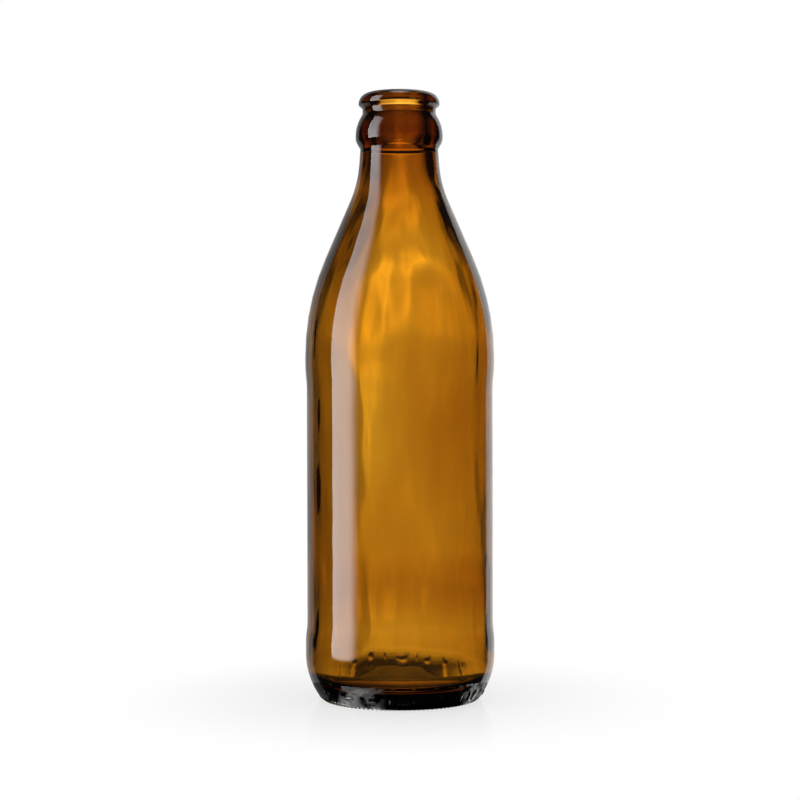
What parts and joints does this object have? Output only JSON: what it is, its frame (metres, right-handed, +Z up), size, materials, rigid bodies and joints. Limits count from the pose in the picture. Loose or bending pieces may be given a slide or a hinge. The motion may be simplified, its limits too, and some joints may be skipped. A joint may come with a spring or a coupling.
{
  "type": "beer bottle",
  "caption": "Short-necked amber glass beer bottle with a crown finish, a recessed label panel, a knurled bearing ring and a push-up base.",
  "frame": {"origin": "centre of the bearing ring that the bottle stands on", "axes": "+Z up the bottle's axis towards the mouth; +X and +Y are alike, as the bottle is round"},
  "size_m": [0.062, 0.062, 0.1983],
  "materials": {
    "amber_glass": "clear amber container glass, fire-polished outside, a little uneven inside"
  },
  "bodies": {
    "root": {"bottle": "amber_glass"}
  },
  "joints": []
}
